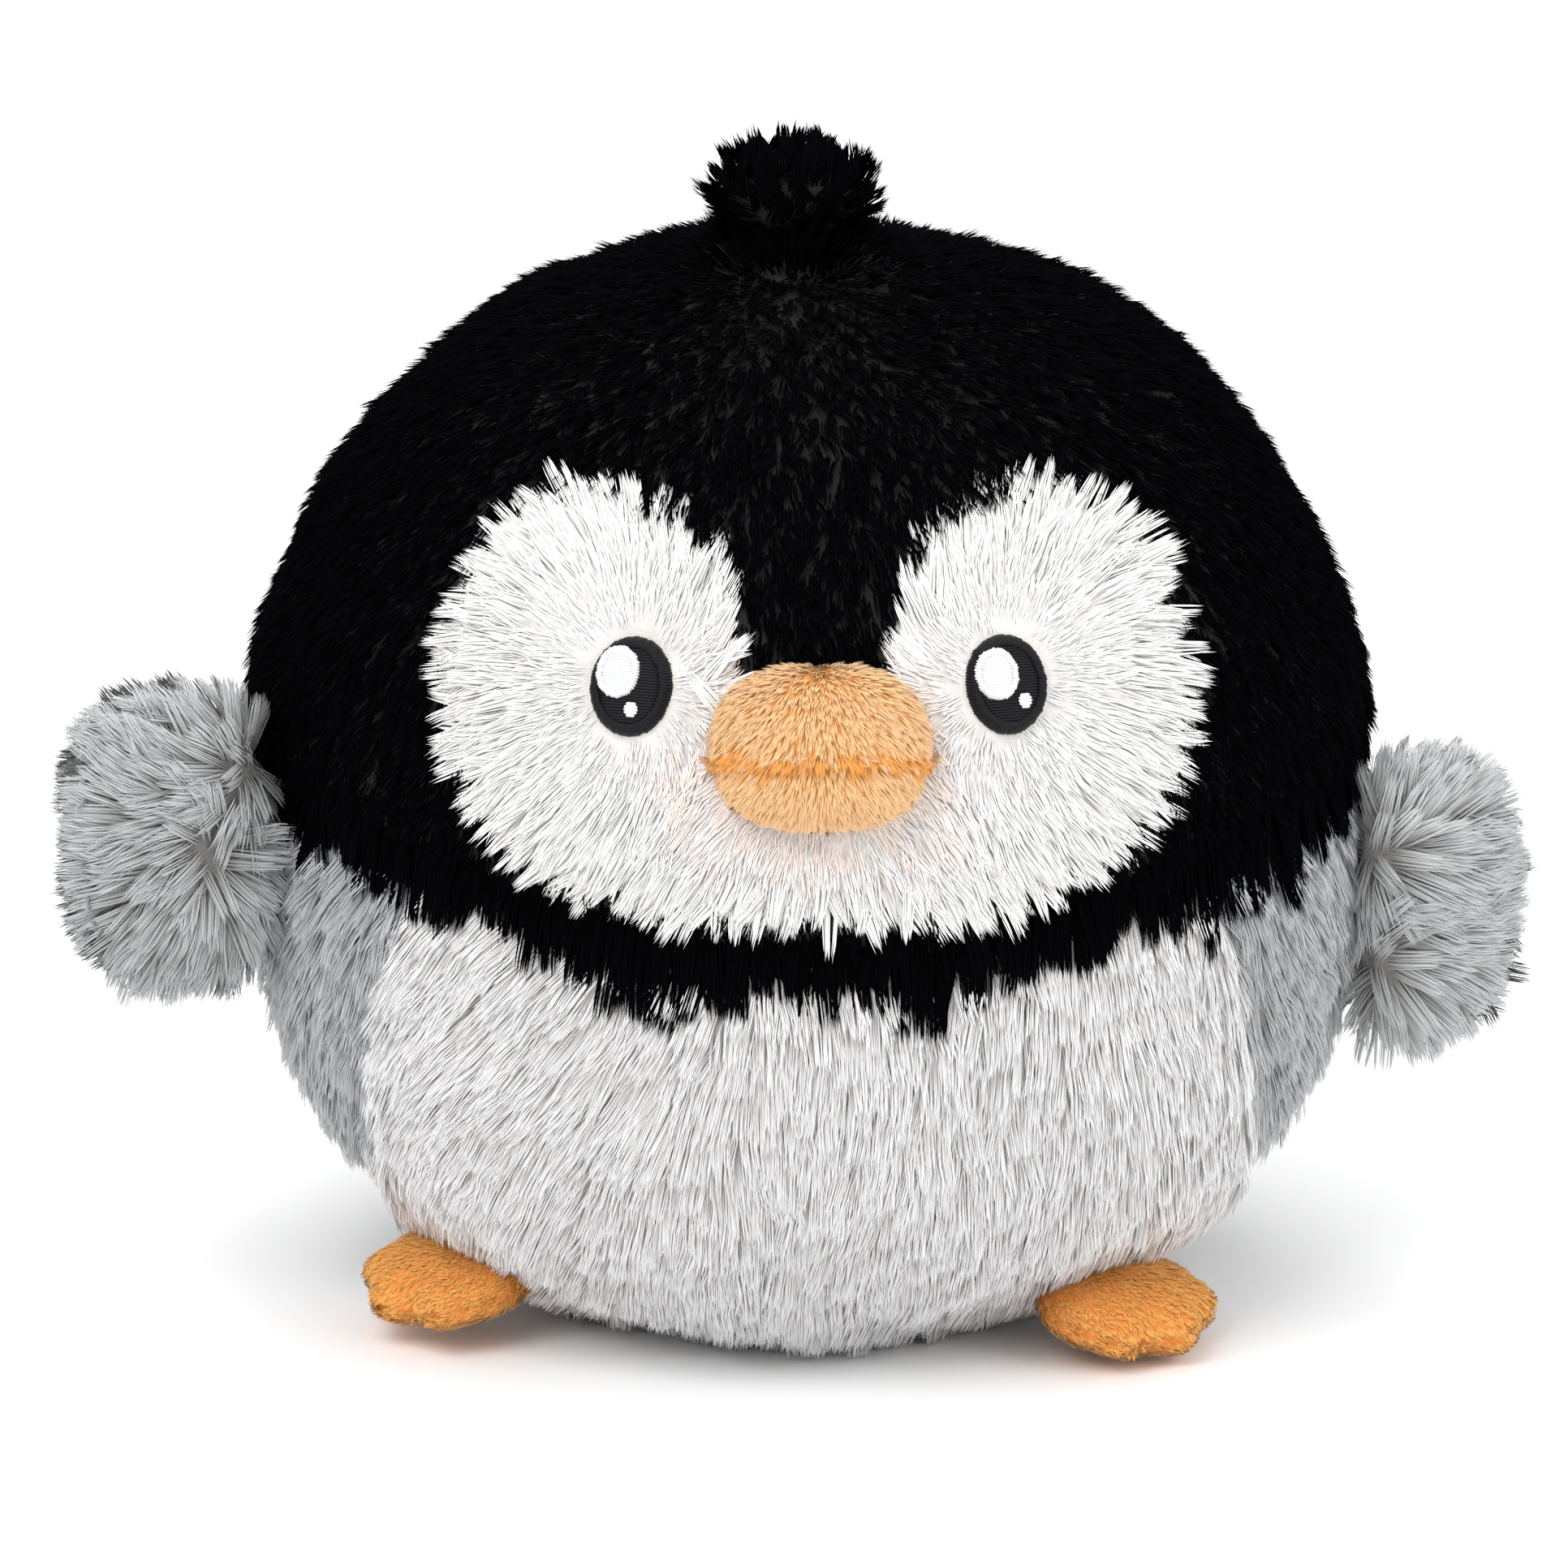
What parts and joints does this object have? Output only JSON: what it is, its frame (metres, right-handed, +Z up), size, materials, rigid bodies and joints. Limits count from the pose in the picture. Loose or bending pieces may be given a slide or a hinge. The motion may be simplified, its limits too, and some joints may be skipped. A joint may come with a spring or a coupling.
{
  "type": "plush penguin",
  "caption": "Round fluffy penguin chick soft toy with a dark hood, pale two-lobed face, embroidered eyes, stuffed beak, wings, feet and a small crest.",
  "frame": {"origin": "centre of the flat base panel, where it rests", "axes": "+Z up through the head, -Y the way the toy faces, +X towards its own left wing"},
  "size_m": [0.2145, 0.1694, 0.1779],
  "materials": {
    "black_pile": "matte",
    "white_pile": "matte",
    "light_grey_pile": "matte",
    "mid_grey_pile": "matte",
    "silver_pile": "matte",
    "orange_pile": "matte",
    "peach_pile": "matte",
    "black_thread": "satin",
    "white_thread": "satin",
    "backing": "matte",
    "fibre": "matte"
  },
  "bodies": {
    "body": {"body_filling": "fibre", "hood_front": "black_pile", "hood_back_right": "black_pile", "hood_back_left": "black_pile", "face_right": "white_pile", "face_left": "white_pile", "belly": "light_grey_pile", "back_right": "mid_grey_pile", "back_left": "mid_grey_pile", "base_panel": "backing", "eye_right_pupil": "black_thread", "eye_right_highlight": "white_thread", "eye_right_sparkle": "white_thread", "eye_left_pupil": "black_thread", "eye_left_highlight": "white_thread", "eye_left_sparkle": "white_thread", "beak_upper": "peach_pile", "beak_upper_filling": "fibre", "beak_lower": "peach_pile", "beak_lower_filling": "fibre"},
    "right_wing": {"wing_right_front": "silver_pile", "wing_right_back": "silver_pile", "wing_right_filling": "fibre"},
    "left_wing": {"wing_left_front": "silver_pile", "wing_left_back": "silver_pile", "wing_left_filling": "fibre"},
    "right_foot": {"foot_right_top": "orange_pile", "foot_right_sole": "orange_pile", "foot_right_filling": "fibre"},
    "left_foot": {"foot_left_top": "orange_pile", "foot_left_sole": "orange_pile", "foot_left_filling": "fibre"},
    "head_crest": {"crest_front": "black_pile", "crest_back": "black_pile", "crest_filling": "fibre"}
  },
  "joints": [
    {"name": "right_wing_sweep", "type": "hinge", "parent": "body", "child": "right_wing", "pos_m": [-0.08342, -0.02872, 0.08], "axis": [0, 0, -1], "range_deg": [-40, 30], "stiffness_Nm_per_rad": 0.004},
    {"name": "left_wing_sweep", "type": "hinge", "parent": "body", "child": "left_wing", "pos_m": [0.08499, -0.02277, 0.0649], "axis": [0, 0, 1], "range_deg": [-55, 10], "stiffness_Nm_per_rad": 0.004},
    {"name": "right_foot_lift", "type": "hinge", "parent": "body", "child": "right_foot", "pos_m": [-0.04925, -0.02619, 0.008], "axis": [-0.4695, 0.8829, 0], "range_deg": [0, 15], "stiffness_Nm_per_rad": 0.004},
    {"name": "left_foot_lift", "type": "hinge", "parent": "body", "child": "left_foot", "pos_m": [0.04225, -0.03545, 0.008], "axis": [-0.6428, -0.766, 0], "range_deg": [0, 15], "stiffness_Nm_per_rad": 0.004},
    {"name": "crest_tilt", "type": "hinge", "parent": "body", "child": "head_crest", "pos_m": [-0.0022, -0.008, 0.1674], "axis": [1, 0, 0], "range_deg": [-25, 25], "stiffness_Nm_per_rad": 0.003}
  ]
}
